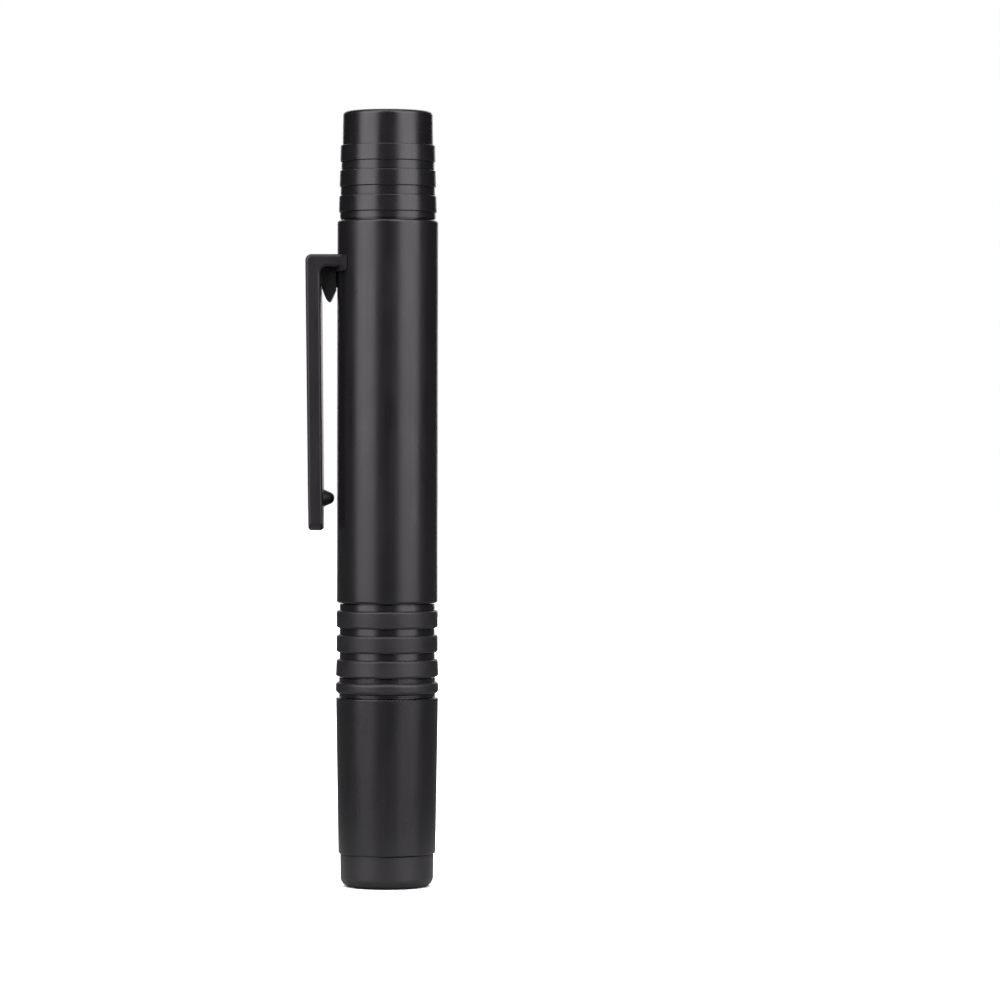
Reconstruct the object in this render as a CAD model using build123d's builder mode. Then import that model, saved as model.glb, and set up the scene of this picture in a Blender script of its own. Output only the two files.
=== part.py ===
from build123d import *

import os

# A lens cleaning pen. Pushing the clip up along its slot slides a soft brush out of the ribbed nose,
# and a charged cleaning tip sits under the long cap at the other end.
#
# +Z runs up the axis of the pen, from the flat end of the cap to the mouth of the brush.
# The origin is the centre of the cap's end face, and the clip is on the -X side.

os.makedirs("parts", exist_ok=True)

# Heights of the seams along the axis, in millimetres.
END_PLUG_TOP = 5.3
CAP_TOP = 30.0
BEAD_BOTTOM = 30.64
BEAD_TOP = 32.54
COLLAR_BOTTOM = 33.32
BARREL_BOTTOM = 45.0
BARREL_TOP = 105.5
NOSE_WAIST = 117.4
NOSE_TOP = 122.8

# Radii of the outside, from the barrel outwards to both ends.
BARREL_RADIUS = 8.0
NOSE_BASE_RADIUS = 7.53
NOSE_WAIST_RADIUS = 7.19
NOSE_TOP_RADIUS = 7.1
COLLAR_GROOVE_RADIUS = 7.58
COLLAR_SEAT_RADIUS = 7.0
COLLAR_RING_RADIUS = 8.04
COLLAR_LIP_RADIUS = 8.15
BEAD_RADIUS = 8.14
SHOULDER_RADIUS = 7.62
CAP_RIM_RADIUS = 8.1
CAP_FOOT_RADIUS = 7.71
END_PLUG_RADIUS = 7.41
END_PLUG_FOOT_RADIUS = 7.34

# Bores and the fits between pieces.
BORE_RADIUS = 6.7
PRESS_GAP = 0.02
RUNNING_GAP = 0.1
SEAM_GAP = 0.15
SEAM_RECESS = 0.2
SEAM_RADIUS = 7.1
SPIGOT_RADIUS = BORE_RADIUS - PRESS_GAP
SLIDING_RADIUS = BORE_RADIUS - RUNNING_GAP
STEM_BORE_RADIUS = 5.6
NOSE_BORE_RADIUS = 5.6
MOUTH_RADIUS = 5.1
EDGE_ROUND = 0.4
CAP_RIM_ROUND = 0.15
CAP_FOOT_ROUND = 0.15
END_PLUG_ROUND = 1.5
NOSE_TOP_ROUND = 0.7
MOUTH_ROUND = 0.3
LEAD_IN = 0.4
RIB_ROUND = 0.14
RING_EDGE_ROUND = 0.35
BEAD_ROUND = 0.6

# The three ribs of the nose and the three rubber rings of the collar.
RIB_COUNT = 3
NOSE_RIB_BOTTOM = 106.8
NOSE_RIB_PITCH = 4.0
NOSE_RIB_WIDTH = 2.6
NOSE_RIB_HEIGHT = 0.3
NOSE_BAND_HEIGHT = 0.1
GROOVE_DRAFT = 0.03
RELIEF_DEPTH = 0.09
RELIEF_WIDTH = 0.16
COLLAR_RING_PITCH = 3.87
COLLAR_RING_WIDTH = 2.75

# The clip: arm, blade, saddle and gripping pip.
ARM_TOP = 100.1
ARM_BOTTOM = 98.1
BLADE_BOTTOM = 56.5
BLADE_OUTER_TOP = 12.92
BLADE_OUTER_BOTTOM = 12.42
BLADE_INNER_TOP = 10.54
BLADE_INNER_BOTTOM = 10.09
CLIP_HALF_WIDTH = 4.15
CLIP_TIP_HALF_WIDTH = 3.4
CLIP_TIP_ROUND = 1.2
CLIP_ELBOW_ROUND = 1.0
CLIP_CROOK_ROUND = 1.2
CLIP_EDGE_ROUND = 0.5
SADDLE_GAP = 0.12
SADDLE_THICKNESS = 0.4
SADDLE_HALF_WIDTH = 5.1
SADDLE_ROUND = 0.6
SADDLE_BOTTOM = 97.4
SADDLE_TOP = 99.85
PIP_HEIGHT = 61.58
PIP_RADIUS = 1.75
PIP_TAPER = 24
PIP_ROUND = 1.0
PIP_TIP = 8.41
PIP_ROOT = 10.9

# The slide: how far it travels, its key and the slot that the key runs in.
SLIDE_TRAVEL = 17.5
KEY_BOTTOM = 94.9
KEY_TOP = 97.9
KEY_THICKNESS = 2.0
KEY_FOOT = 2.6
KEY_HEAD = 8.15
TONGUE_HALF_THICKNESS = 1.6
TONGUE_TIP = 92.6
SLOT_GAP = 0.15

# The sled and the brush that it carries.
SLED_BOTTOM = 75.6
SLED_SHOULDER = 80.0
SLED_TOP = 101.5
SLED_RADIUS = NOSE_BORE_RADIUS - RUNNING_GAP
SLED_CORE_RADIUS = 3.8
SLED_CORE_TOP = 92.0
STOP_BOTTOM = 70.0
STOP_TOP = SLED_BOTTOM - 0.2
FERRULE_BOTTOM = 98.4
FERRULE_TOP = 105.5
FERRULE_RADIUS = 4.6
FERRULE_WALL = 0.3
HAIR_ROOT = 103.0
HAIR_TOP = 121.5
HAIR_ROOT_RADIUS = FERRULE_RADIUS - FERRULE_WALL - PRESS_GAP
HAIR_BELLY_RADIUS = 4.75

# The cleaning tip under the cap, from its holder down to the charged felt.
HOLDER_BOTTOM = 18.0
HOLDER_WEB_TOP = 27.0
STEM_TOP = 50.0
STEM_CORE_RADIUS = 4.3
COLLAR_SPIGOT_TOP = 54.0
NOSE_SPIGOT_BOTTOM = 98.0
NECK_ROOT_RADIUS = 2.4
NECK_ROOT_TOP = 24.6
NECK_WAIST_RADIUS = 2.75
NECK_TOP_RADIUS = 3.4
NECK_FOOT_RADIUS = 4.2
TIP_RADIUS = 5.6
DISC_TOP = 9.9
PAD_TOP = 7.6
PAD_BOTTOM = 6.4
PAD_HOLLOW = 0.25
PAD_CURVE_RADIUS = 54.0
FELT_TOP = 6.1
PLUG_FLOOR = 3.0
PLUG_SPIGOT_TOP = 8.0
FELT_CUP_RADIUS = 5.93
FELT_CUP_WALL = 0.65

# The two rubber rings: height of each, the radius of its cord and of the path it lies on.
RING_CORD_RADIUS = 0.63
RING_PATH_RADIUS = BORE_RADIUS - 0.05 - RING_CORD_RADIUS
RING_GROOVE_RADIUS = RING_PATH_RADIUS - RING_CORD_RADIUS - 0.02
RING_GROOVE_WIDTH = 1.5
SPIGOT_RING_HEIGHT = 24.0
SLED_RING_HEIGHT = 77.8


def turn(*outline, mode=Mode.ADD):
    """Revolve a closed outline of (radius, height) points about the pen's axis."""
    with BuildSketch(Plane.XZ) as profile:
        with BuildLine():
            Polyline(*outline, close=True)
        make_face()
    revolve(profile.sketch, axis=Axis.Z, mode=mode)


def turn_groove_band(inner, outer, low, high):
    """Turn the smooth floor of a groove between two ribs, with a fine relief along its foot."""
    turn(
        (inner, low),
        (outer - RELIEF_DEPTH, low),
        (outer - RELIEF_DEPTH, low + RELIEF_WIDTH),
        (outer, low + RELIEF_WIDTH),
        (outer - GROOVE_DRAFT, high),
        (inner, high),
    )


def turn_ring_groove(height):
    """Cut the groove that a rubber ring lies in."""
    low = height - RING_GROOVE_WIDTH / 2
    high = height + RING_GROOVE_WIDTH / 2
    outer = BARREL_RADIUS
    turn(
        (RING_GROOVE_RADIUS, low),
        (outer, low),
        (outer, high),
        (RING_GROOVE_RADIUS, high),
        mode=Mode.SUBTRACT,
    )


def cut_slider_slot():
    """Cut the round-ended slot that the slide's key runs in, through the wall on the clip's side."""
    bottom = KEY_BOTTOM - SLOT_GAP
    top = KEY_TOP + SLIDE_TRAVEL + SLOT_GAP
    with BuildSketch(Plane.YZ) as slot:
        with Locations((0, (bottom + top) / 2)):
            SlotOverall(top - bottom, KEY_THICKNESS + RUNNING_GAP * 2, rotation=90)
    extrude(slot.sketch, amount=-2 * BARREL_RADIUS, mode=Mode.SUBTRACT)


def nose_radius(height):
    """Radius of the nose's tapered core, between the barrel and the waist under the mouth."""
    share = (height - BARREL_TOP) / (NOSE_WAIST - BARREL_TOP)
    return NOSE_BASE_RADIUS + share * (NOSE_WAIST_RADIUS - NOSE_BASE_RADIUS)


def circles(piece, radius, height, slack=0.02):
    """The circular edges of a piece with one radius, at one height."""
    found = piece.edges().filter_by(GeomType.CIRCLE)
    found = found.filter_by(lambda edge: abs(edge.radius - radius) < slack)
    return found.filter_by(lambda edge: abs(edge.center().Z - height) < slack)


def write(piece, name):
    """Name a finished piece and write its STEP file."""
    piece.part.label = name
    export_step(piece.part, f"parts/{name}.step")


# ---------------------------------------------------------------- barrel and nose

# Plain tube, with the slider's slot open at its upper end.
with BuildPart() as barrel:
    turn(
        (BORE_RADIUS, BARREL_BOTTOM),
        (BARREL_RADIUS, BARREL_BOTTOM),
        (BARREL_RADIUS, BARREL_TOP),
        (BORE_RADIUS, BARREL_TOP),
    )
    fillet(circles(barrel, BARREL_RADIUS, BARREL_BOTTOM), radius=EDGE_ROUND)
    fillet(circles(barrel, BARREL_RADIUS, BARREL_TOP), radius=EDGE_ROUND)
    cut_slider_slot()
write(barrel, "barrel")

# Tapered nose with three ribs, a spigot that is pressed into the barrel, and the brush's mouth.
with BuildPart() as brush_nose:
    turn(
        (NOSE_BORE_RADIUS, NOSE_SPIGOT_BOTTOM),
        (SPIGOT_RADIUS, NOSE_SPIGOT_BOTTOM),
        (SPIGOT_RADIUS, BARREL_TOP),
        (SEAM_RADIUS, BARREL_TOP),
        (SEAM_RADIUS, BARREL_TOP + SEAM_RECESS),
        (NOSE_BASE_RADIUS, BARREL_TOP + SEAM_RECESS),
        (NOSE_WAIST_RADIUS, NOSE_WAIST),
        (NOSE_TOP_RADIUS, NOSE_TOP),
        (MOUTH_RADIUS, NOSE_TOP),
        (MOUTH_RADIUS, NOSE_TOP - 2.2),
        (NOSE_BORE_RADIUS, NOSE_TOP - 3.2),
    )
    groove_low = BARREL_TOP + SEAM_RECESS
    for rib in range(RIB_COUNT):
        low = NOSE_RIB_BOTTOM + rib * NOSE_RIB_PITCH
        high = low + NOSE_RIB_WIDTH
        band_radius = nose_radius(groove_low) + NOSE_BAND_HEIGHT
        turn_groove_band(NOSE_WAIST_RADIUS - 0.5, band_radius, groove_low, low)
        groove_low = high
        turn(
            (NOSE_WAIST_RADIUS - 0.5, low),
            (nose_radius(low) + NOSE_RIB_HEIGHT, low),
            (nose_radius(high) + NOSE_RIB_HEIGHT, high),
            (NOSE_WAIST_RADIUS - 0.5, high),
        )
        fillet(circles(brush_nose, nose_radius(low) + NOSE_RIB_HEIGHT, low), radius=RIB_ROUND)
        fillet(circles(brush_nose, nose_radius(high) + NOSE_RIB_HEIGHT, high), radius=RIB_ROUND)
    fillet(circles(brush_nose, NOSE_TOP_RADIUS, NOSE_TOP), radius=NOSE_TOP_ROUND)
    fillet(circles(brush_nose, MOUTH_RADIUS, NOSE_TOP), radius=MOUTH_ROUND)
    cut_slider_slot()
write(brush_nose, "brush_nose")

# Shallow cup pressed across the barrel: the sled comes down against it.
with BuildPart() as sled_stop:
    turn(
        (0, STOP_TOP - 1.5),
        (SPIGOT_RADIUS - 1.2, STOP_TOP - 1.5),
        (SPIGOT_RADIUS - 1.2, STOP_BOTTOM),
        (SPIGOT_RADIUS, STOP_BOTTOM),
        (SPIGOT_RADIUS, STOP_TOP),
        (0, STOP_TOP),
    )
    chamfer(circles(sled_stop, SPIGOT_RADIUS, STOP_TOP), length=LEAD_IN)
write(sled_stop, "sled_stop")

# ---------------------------------------------------------------- collar and tip holder

# Grip collar: smooth bands between the seats of three rubber rings, and a spigot into the barrel.
with BuildPart() as grip_collar:
    turn(
        (STEM_BORE_RADIUS, COLLAR_BOTTOM),
        (COLLAR_SEAT_RADIUS, COLLAR_BOTTOM),
        (COLLAR_SEAT_RADIUS, BARREL_BOTTOM),
        (SPIGOT_RADIUS, BARREL_BOTTOM),
        (SPIGOT_RADIUS, COLLAR_SPIGOT_TOP),
        (STEM_BORE_RADIUS, COLLAR_SPIGOT_TOP),
    )
    for band in range(RIB_COUNT):
        low = COLLAR_BOTTOM + band * COLLAR_RING_PITCH + COLLAR_RING_WIDTH
        top_band = band == RIB_COUNT - 1
        high = BARREL_BOTTOM - SEAM_RECESS if top_band else low + COLLAR_RING_PITCH - COLLAR_RING_WIDTH
        turn_groove_band(COLLAR_SEAT_RADIUS, COLLAR_GROOVE_RADIUS, low, high)
    chamfer(circles(grip_collar, SPIGOT_RADIUS, COLLAR_SPIGOT_TOP), length=LEAD_IN)
write(grip_collar, "grip_collar")

# Broad rubber rings stretched into the collar's seats, the lowest with a flared lip.
for ring in range(RIB_COUNT):
    low = COLLAR_BOTTOM + ring * COLLAR_RING_PITCH
    high = low + COLLAR_RING_WIDTH
    low_radius = COLLAR_LIP_RADIUS if ring == 0 else COLLAR_RING_RADIUS
    with BuildPart() as grip_ring:
        turn(
            (COLLAR_SEAT_RADIUS, low),
            (low_radius, low),
            (COLLAR_RING_RADIUS, high),
            (COLLAR_SEAT_RADIUS, high),
        )
        fillet(circles(grip_ring, low_radius, low), radius=RING_EDGE_ROUND)
        fillet(circles(grip_ring, COLLAR_RING_RADIUS, high), radius=RING_EDGE_ROUND)
    write(grip_ring, f"grip_ring_{ring + 1}")

# Tip holder: a shoulder between collar and cap, the cap's spigot below it, and a hollow stem above.
with BuildPart() as tip_holder:
    turn(
        (0, HOLDER_BOTTOM),
        (SLIDING_RADIUS, HOLDER_BOTTOM),
        (SLIDING_RADIUS, CAP_TOP + SEAM_GAP),
        (SHOULDER_RADIUS, CAP_TOP + SEAM_GAP),
        (SHOULDER_RADIUS, BEAD_BOTTOM),
        (COLLAR_SEAT_RADIUS, BEAD_BOTTOM),
        (COLLAR_SEAT_RADIUS, BEAD_TOP),
        (SHOULDER_RADIUS, BEAD_TOP),
        (SHOULDER_RADIUS, COLLAR_BOTTOM - SEAM_RECESS),
        (SEAM_RADIUS, COLLAR_BOTTOM - SEAM_RECESS),
        (SEAM_RADIUS, COLLAR_BOTTOM),
        (STEM_BORE_RADIUS - PRESS_GAP, COLLAR_BOTTOM),
        (STEM_BORE_RADIUS - PRESS_GAP, STEM_TOP),
        (STEM_CORE_RADIUS, STEM_TOP),
        (STEM_CORE_RADIUS, HOLDER_WEB_TOP),
        (0, HOLDER_WEB_TOP),
    )
    turn_ring_groove(SPIGOT_RING_HEIGHT)
    turn(
        (0, HOLDER_BOTTOM),
        (NECK_ROOT_RADIUS + PRESS_GAP, HOLDER_BOTTOM),
        (NECK_ROOT_RADIUS + PRESS_GAP, NECK_ROOT_TOP + RUNNING_GAP),
        (0, NECK_ROOT_TOP + RUNNING_GAP),
        mode=Mode.SUBTRACT,
    )
    chamfer(circles(tip_holder, SLIDING_RADIUS, HOLDER_BOTTOM), length=0.7)
write(tip_holder, "tip_holder")

# Narrow rubber bead in the holder's shoulder: the cap's rim comes up under it.
with BuildPart() as bead_ring:
    turn(
        (COLLAR_SEAT_RADIUS, BEAD_BOTTOM),
        (BEAD_RADIUS, BEAD_BOTTOM),
        (BEAD_RADIUS, BEAD_TOP),
        (COLLAR_SEAT_RADIUS, BEAD_TOP),
    )
    fillet(circles(bead_ring, BEAD_RADIUS, BEAD_BOTTOM), radius=BEAD_ROUND)
    fillet(circles(bead_ring, BEAD_RADIUS, BEAD_TOP), radius=BEAD_ROUND)
write(bead_ring, "bead_ring")

# Flexible neck: a root in the holder, a waist that bends, and a flared foot on the disc.
with BuildPart() as tip_neck:
    with BuildSketch(Plane.XZ):
        with BuildLine():
            Polyline(
                (NECK_FOOT_RADIUS, DISC_TOP),
                (0, DISC_TOP),
                (0, NECK_ROOT_TOP),
                (NECK_ROOT_RADIUS, NECK_ROOT_TOP),
                (NECK_ROOT_RADIUS, HOLDER_BOTTOM),
                (NECK_TOP_RADIUS, HOLDER_BOTTOM),
            )
            Spline(
                (NECK_TOP_RADIUS, HOLDER_BOTTOM),
                (NECK_WAIST_RADIUS, (HOLDER_BOTTOM + DISC_TOP) / 2),
                (NECK_FOOT_RADIUS, DISC_TOP),
            )
        make_face()
    revolve(axis=Axis.Z)
write(tip_neck, "tip_neck")

# Backing disc of the tip.
with BuildPart() as tip_disc:
    turn((0, PAD_TOP), (TIP_RADIUS, PAD_TOP), (TIP_RADIUS, DISC_TOP), (0, DISC_TOP))
    fillet(circles(tip_disc, TIP_RADIUS, DISC_TOP), radius=0.6)
write(tip_disc, "tip_disc")

# Soft chamois pad, hollowed a little to follow a lens.
with BuildPart() as cleaning_pad:
    turn((0, PAD_BOTTOM), (TIP_RADIUS, PAD_BOTTOM), (TIP_RADIUS, PAD_TOP), (0, PAD_TOP))
    chamfer(circles(cleaning_pad, TIP_RADIUS, PAD_BOTTOM), length=0.35)
    with Locations((0, 0, PAD_BOTTOM + PAD_HOLLOW - PAD_CURVE_RADIUS)):
        Sphere(PAD_CURVE_RADIUS, mode=Mode.SUBTRACT)
write(cleaning_pad, "cleaning_pad")

# Rubber ring on the holder's spigot: the cap grips it, and turns and slides over it.
with BuildPart() as spigot_ring:
    with BuildSketch(Plane.XZ):
        with Locations((RING_PATH_RADIUS, SPIGOT_RING_HEIGHT)):
            Circle(RING_CORD_RADIUS)
    revolve(axis=Axis.Z)
write(spigot_ring, "spigot_ring")

# ---------------------------------------------------------------- cap

# Long cap tube, tapered towards its end.
with BuildPart() as cap_shell:
    turn(
        (BORE_RADIUS, END_PLUG_TOP),
        (CAP_FOOT_RADIUS, END_PLUG_TOP),
        (CAP_RIM_RADIUS, CAP_TOP),
        (BORE_RADIUS, CAP_TOP),
    )
    fillet(circles(cap_shell, CAP_FOOT_RADIUS, END_PLUG_TOP), radius=CAP_FOOT_ROUND)
    fillet(circles(cap_shell, CAP_RIM_RADIUS, CAP_TOP), radius=CAP_RIM_ROUND)
    chamfer(circles(cap_shell, BORE_RADIUS, CAP_TOP), length=LEAD_IN)
write(cap_shell, "cap_shell")

# End plug: a rounded foot with a flat face, and a spigot up into the cap tube.
with BuildPart() as cap_end_plug:
    turn(
        (0, 0),
        (END_PLUG_FOOT_RADIUS, 0),
        (END_PLUG_RADIUS, END_PLUG_TOP),
        (SPIGOT_RADIUS, END_PLUG_TOP),
        (SPIGOT_RADIUS, PLUG_SPIGOT_TOP),
        (FELT_CUP_RADIUS + PRESS_GAP, PLUG_SPIGOT_TOP),
        (FELT_CUP_RADIUS + PRESS_GAP, PLUG_FLOOR),
        (0, PLUG_FLOOR),
    )
    fillet(circles(cap_end_plug, END_PLUG_FOOT_RADIUS, 0), radius=END_PLUG_ROUND)
    fillet(circles(cap_end_plug, END_PLUG_RADIUS, END_PLUG_TOP), radius=CAP_FOOT_ROUND)
write(cap_end_plug, "cap_end_plug")

# Thin cup that keeps the charged felt together.
with BuildPart() as felt_cup:
    turn(
        (0, PLUG_FLOOR),
        (FELT_CUP_RADIUS, PLUG_FLOOR),
        (FELT_CUP_RADIUS, FELT_TOP),
        (FELT_CUP_RADIUS - FELT_CUP_WALL, FELT_TOP),
        (FELT_CUP_RADIUS - FELT_CUP_WALL, PLUG_FLOOR + FELT_CUP_WALL),
        (0, PLUG_FLOOR + FELT_CUP_WALL),
    )
write(felt_cup, "felt_cup")

# Felt charged with the dry cleaning compound.
with BuildPart() as compound_felt:
    with BuildSketch(Plane.XY.offset(PLUG_FLOOR + FELT_CUP_WALL)):
        Circle(FELT_CUP_RADIUS - FELT_CUP_WALL - PRESS_GAP)
    extrude(amount=FELT_TOP - PLUG_FLOOR - FELT_CUP_WALL)
write(compound_felt, "compound_felt")

# ---------------------------------------------------------------- clip and slide

# Clip: one moulding, with the saddle that slides on the barrel, the arm, the leaning blade and its pip.
with BuildPart() as pocket_clip:
    with BuildSketch(Plane.XZ) as side:
        with BuildLine():
            Polyline(
                (-BLADE_OUTER_TOP, ARM_TOP),
                (-BLADE_OUTER_BOTTOM, BLADE_BOTTOM),
                (-BLADE_INNER_BOTTOM, BLADE_BOTTOM),
                (-BLADE_INNER_TOP, ARM_BOTTOM),
                (-CLIP_HALF_WIDTH, ARM_BOTTOM),
                (-CLIP_HALF_WIDTH, ARM_TOP),
                close=True,
            )
        make_face()
        fillet(side.vertices().group_by(Axis.Y)[-1].sort_by(Axis.X)[0], radius=CLIP_ELBOW_ROUND)
        crook = side.vertices().filter_by(lambda corner: abs(corner.Y - ARM_BOTTOM) < 0.01)
        fillet(crook.sort_by(Axis.X)[0], radius=CLIP_CROOK_ROUND)
    extrude(amount=CLIP_HALF_WIDTH, both=True)
    with BuildSketch(Plane.YZ) as front:
        with BuildLine():
            Polyline(
                (-CLIP_HALF_WIDTH, ARM_TOP + 1),
                (-CLIP_TIP_HALF_WIDTH, BLADE_BOTTOM),
                (CLIP_TIP_HALF_WIDTH, BLADE_BOTTOM),
                (CLIP_HALF_WIDTH, ARM_TOP + 1),
                close=True,
            )
        make_face()
        fillet(front.vertices().group_by(Axis.Z)[0], radius=CLIP_TIP_ROUND)
    extrude(amount=-2 * BLADE_OUTER_TOP, mode=Mode.INTERSECT)
    fillet(
        pocket_clip.edges().filter_by(lambda edge: edge.center().X < -CLIP_HALF_WIDTH - 0.5),
        radius=CLIP_EDGE_ROUND,
    )
    turn(
        (0, SADDLE_BOTTOM - 1),
        (BARREL_RADIUS + SADDLE_GAP, SADDLE_BOTTOM - 1),
        (BARREL_RADIUS + SADDLE_GAP, ARM_TOP + 1),
        (0, ARM_TOP + 1),
        mode=Mode.SUBTRACT,
    )
    with BuildSketch(Plane.XY.offset(SADDLE_BOTTOM)):
        Circle(BARREL_RADIUS + SADDLE_GAP + SADDLE_THICKNESS)
        Circle(BARREL_RADIUS + SADDLE_GAP, mode=Mode.SUBTRACT)
        with Locations((-BARREL_RADIUS, 0)):
            Rectangle(BARREL_RADIUS, 2 * SADDLE_HALF_WIDTH, mode=Mode.INTERSECT)
    extrude(amount=SADDLE_TOP - SADDLE_BOTTOM)
    saddle_foot = pocket_clip.edges().filter_by(lambda edge: abs(edge.center().Z - SADDLE_BOTTOM) < 0.01)
    saddle_corners = saddle_foot.filter_by(lambda edge: abs(edge.center().Y) > SADDLE_HALF_WIDTH - 0.05)
    fillet(saddle_corners, radius=SADDLE_ROUND)
    with BuildSketch(Plane.YZ) as key_notch:
        with Locations((0, ARM_BOTTOM - 1)):
            Rectangle(2 * TONGUE_HALF_THICKNESS + RUNNING_GAP, 2)
    extrude(amount=-BARREL_RADIUS - 1.5, mode=Mode.SUBTRACT)
    with BuildSketch(Plane.XZ) as pip:
        with BuildLine():
            tip = CenterArc((-PIP_TIP - PIP_ROUND, PIP_HEIGHT), PIP_ROUND, 0, 90 - PIP_TAPER)
            Polyline(tip @ 1, (-PIP_ROOT, PIP_HEIGHT + PIP_RADIUS), (-PIP_ROOT, PIP_HEIGHT), tip @ 0)
        make_face()
    revolve(pip.sketch, axis=Axis((0, 0, PIP_HEIGHT), (1, 0, 0)))
write(pocket_clip, "pocket_clip")

# Key: a tongue that hangs in the gap under the clip's arm, and a neck through the slot into the sled.
with BuildPart() as slide_key:
    with BuildSketch(Plane.XZ) as tongue:
        with BuildLine():
            Polyline(
                (-KEY_HEAD, KEY_BOTTOM - 0.4),
                (-KEY_HEAD, ARM_BOTTOM),
                (-BLADE_INNER_TOP + CLIP_CROOK_ROUND, ARM_BOTTOM),
            )
            ThreePointArc(
                (-BLADE_INNER_TOP + CLIP_CROOK_ROUND, ARM_BOTTOM),
                (-BLADE_INNER_TOP + 0.38, ARM_BOTTOM - 0.38),
                (-BLADE_INNER_TOP + 0.08, ARM_BOTTOM - 1.1),
            )
            Line(
                (-BLADE_INNER_TOP + 0.08, ARM_BOTTOM - 1.1),
                (-BLADE_INNER_TOP + 0.12, KEY_BOTTOM + 0.6),
            )
            Spline(
                (-BLADE_INNER_TOP + 0.12, KEY_BOTTOM + 0.6),
                (-KEY_HEAD - 1.75, TONGUE_TIP + 0.9),
                (-KEY_HEAD - 1.05, TONGUE_TIP),
                (-KEY_HEAD - 0.45, TONGUE_TIP + 0.85),
                (-KEY_HEAD, KEY_BOTTOM - 0.4),
            )
        make_face()
    extrude(amount=TONGUE_HALF_THICKNESS, both=True)
    with BuildSketch(Plane.YZ.offset(-KEY_FOOT)):
        with Locations((0, (KEY_BOTTOM + KEY_TOP) / 2)):
            SlotOverall(KEY_TOP - KEY_BOTTOM, KEY_THICKNESS, rotation=90)
    extrude(amount=KEY_FOOT - KEY_HEAD - 0.2)
write(slide_key, "slide_key")

# Sled: a flange that runs in the barrel, a body that runs in the nose, and the brush's socket.
with BuildPart() as brush_sled:
    turn(
        (0, SLED_CORE_TOP),
        (SLED_CORE_RADIUS, SLED_CORE_TOP),
        (SLED_CORE_RADIUS, SLED_BOTTOM),
        (SLIDING_RADIUS, SLED_BOTTOM),
        (SLIDING_RADIUS, SLED_SHOULDER),
        (SLED_RADIUS, SLED_SHOULDER),
        (SLED_RADIUS, SLED_TOP),
        (FERRULE_RADIUS + PRESS_GAP, SLED_TOP),
        (FERRULE_RADIUS + PRESS_GAP, FERRULE_BOTTOM),
        (0, FERRULE_BOTTOM),
    )
    turn_ring_groove(SLED_RING_HEIGHT)
    with BuildSketch(Plane.YZ.offset(-KEY_FOOT + PRESS_GAP)):
        with Locations((0, (KEY_BOTTOM + KEY_TOP) / 2)):
            SlotOverall(
                KEY_TOP - KEY_BOTTOM + 2 * PRESS_GAP,
                KEY_THICKNESS + 2 * PRESS_GAP,
                rotation=90,
            )
    extrude(amount=-BARREL_RADIUS, mode=Mode.SUBTRACT)
    chamfer(circles(brush_sled, SLED_RADIUS, SLED_TOP), length=LEAD_IN)
write(brush_sled, "brush_sled")

# Rubber ring that holds the slide where it is left.
with BuildPart() as sled_ring:
    with BuildSketch(Plane.XZ):
        with Locations((RING_PATH_RADIUS, SLED_RING_HEIGHT)):
            Circle(RING_CORD_RADIUS)
    revolve(axis=Axis.Z)
write(sled_ring, "sled_ring")

# Thin metal ferrule with two rolled crimps round the hair.
with BuildPart() as brush_ferrule:
    turn(
        (FERRULE_RADIUS - FERRULE_WALL, FERRULE_BOTTOM),
        (FERRULE_RADIUS, FERRULE_BOTTOM),
        (FERRULE_RADIUS, FERRULE_TOP),
        (FERRULE_RADIUS - FERRULE_WALL, FERRULE_TOP),
    )
    for crimp in range(2):
        height = HAIR_ROOT - 0.3 + crimp * 1.3
        turn(
            (FERRULE_RADIUS - 0.15, height),
            (FERRULE_RADIUS + 0.1, height - 0.3),
            (FERRULE_RADIUS + 0.1, height + 0.3),
            mode=Mode.SUBTRACT,
        )
write(brush_ferrule, "brush_ferrule")

# Glued root of the hair inside the ferrule.
with BuildPart() as bristle_root:
    with BuildSketch(Plane.XY.offset(FERRULE_BOTTOM)):
        Circle(HAIR_ROOT_RADIUS)
    extrude(amount=HAIR_ROOT - FERRULE_BOTTOM)
write(bristle_root, "bristle_root")

# Bundle of soft hair: it swells a little above the ferrule and ends in a dome.
with BuildPart() as bristles:
    turn(
        (0, HAIR_ROOT),
        (HAIR_ROOT_RADIUS, HAIR_ROOT),
        (HAIR_ROOT_RADIUS, FERRULE_TOP),
        (HAIR_BELLY_RADIUS, FERRULE_TOP + 7),
        (HAIR_BELLY_RADIUS, HAIR_TOP),
        (0, HAIR_TOP),
    )
    fillet(circles(bristles, HAIR_BELLY_RADIUS, HAIR_TOP), radius=3.2)
write(bristles, "bristles")
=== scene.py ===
import logging
import math
import random
from dataclasses import dataclass
from enum import Enum
from functools import cache

import bmesh
import bpy
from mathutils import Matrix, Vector


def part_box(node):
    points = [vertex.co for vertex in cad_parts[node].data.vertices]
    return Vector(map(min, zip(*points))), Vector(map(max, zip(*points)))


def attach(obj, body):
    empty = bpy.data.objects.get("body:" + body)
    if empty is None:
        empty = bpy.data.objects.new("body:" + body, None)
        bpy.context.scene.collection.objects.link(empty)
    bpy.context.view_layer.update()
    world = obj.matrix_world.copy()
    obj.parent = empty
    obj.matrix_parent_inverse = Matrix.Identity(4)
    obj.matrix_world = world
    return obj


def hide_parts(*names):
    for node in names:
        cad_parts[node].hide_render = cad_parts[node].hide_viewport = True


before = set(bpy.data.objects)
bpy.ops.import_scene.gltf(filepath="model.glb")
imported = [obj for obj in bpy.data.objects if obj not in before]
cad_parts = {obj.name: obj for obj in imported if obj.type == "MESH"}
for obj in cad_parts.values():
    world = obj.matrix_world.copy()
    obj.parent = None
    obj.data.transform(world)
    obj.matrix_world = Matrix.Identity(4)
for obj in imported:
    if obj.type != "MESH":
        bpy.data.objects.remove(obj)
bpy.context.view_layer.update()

LOG = logging.getLogger("lens_pen")
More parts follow.
